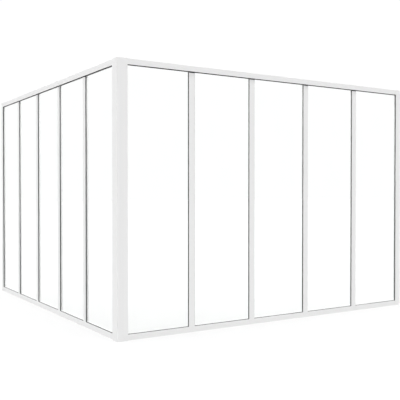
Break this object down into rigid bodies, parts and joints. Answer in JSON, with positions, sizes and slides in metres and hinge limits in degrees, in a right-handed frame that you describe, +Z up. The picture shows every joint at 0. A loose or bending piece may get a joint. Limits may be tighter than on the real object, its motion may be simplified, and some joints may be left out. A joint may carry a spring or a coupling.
{
  "type": "glazed aluminium partition wall",
  "caption": "L-shaped floor-standing partition wall: slim white aluminium frame with full-height clear glass panes in black gaskets, two wings on a square corner post.",
  "frame": {"origin": "middle of the corner post's foot, on the floor", "axes": "+Z up, right wing along +X with its outer face towards -Y, left wing along +Y with its outer face towards -X"},
  "size_m": [3.4835, 3.4835, 2.4],
  "materials": {
    "white_frame": "white powder coat, satin",
    "clear_glass": "clear toughened glass, polished",
    "black_rubber": "matt black rubber gasket",
    "white_rubber": "off-white rubber wedge gasket",
    "white_plastic": "white moulded plastic",
    "packer_plastic": "grey moulded plastic packers",
    "plated_steel": "zinc-plated steel"
  },
  "bodies": {
    "root": {"corner_post": "white_frame", "post_cap": "white_frame", "post_foot_plate": "plated_steel", "right_bottom_rail": "white_frame", "right_top_rail": "white_frame", "right_end_jamb": "white_frame", "right_jamb_plug": "white_plastic", "right_mullion_1": "white_frame", "right_mullion_2": "white_frame", "right_mullion_3": "white_frame", "right_mullion_4": "white_frame", "right_head_pads": "black_rubber", "right_pane_1": "clear_glass", "right_pane_2": "clear_glass", "right_pane_3": "clear_glass", "right_pane_4": "clear_glass", "right_pane_5": "clear_glass", "right_outer_gaskets_upright": "black_rubber", "right_outer_gaskets_level": "black_rubber", "right_inner_gaskets_upright": "white_rubber", "right_inner_gaskets_level": "white_rubber", "right_upright_beads": "white_frame", "right_level_beads": "white_frame", "right_setting_blocks": "packer_plastic", "left_bottom_rail": "white_frame", "left_top_rail": "white_frame", "left_end_jamb": "white_frame", "left_jamb_plug": "white_plastic", "left_mullion_1": "white_frame", "left_mullion_2": "white_frame", "left_mullion_3": "white_frame", "left_mullion_4": "white_frame", "left_head_pads": "black_rubber", "left_pane_1": "clear_glass", "left_pane_2": "clear_glass", "left_pane_3": "clear_glass", "left_pane_4": "clear_glass", "left_pane_5": "clear_glass", "left_outer_gaskets_upright": "black_rubber", "left_outer_gaskets_level": "black_rubber", "left_inner_gaskets_upright": "white_rubber", "left_inner_gaskets_level": "white_rubber", "left_upright_beads": "white_frame", "left_level_beads": "white_frame", "left_setting_blocks": "packer_plastic"}
  },
  "joints": []
}
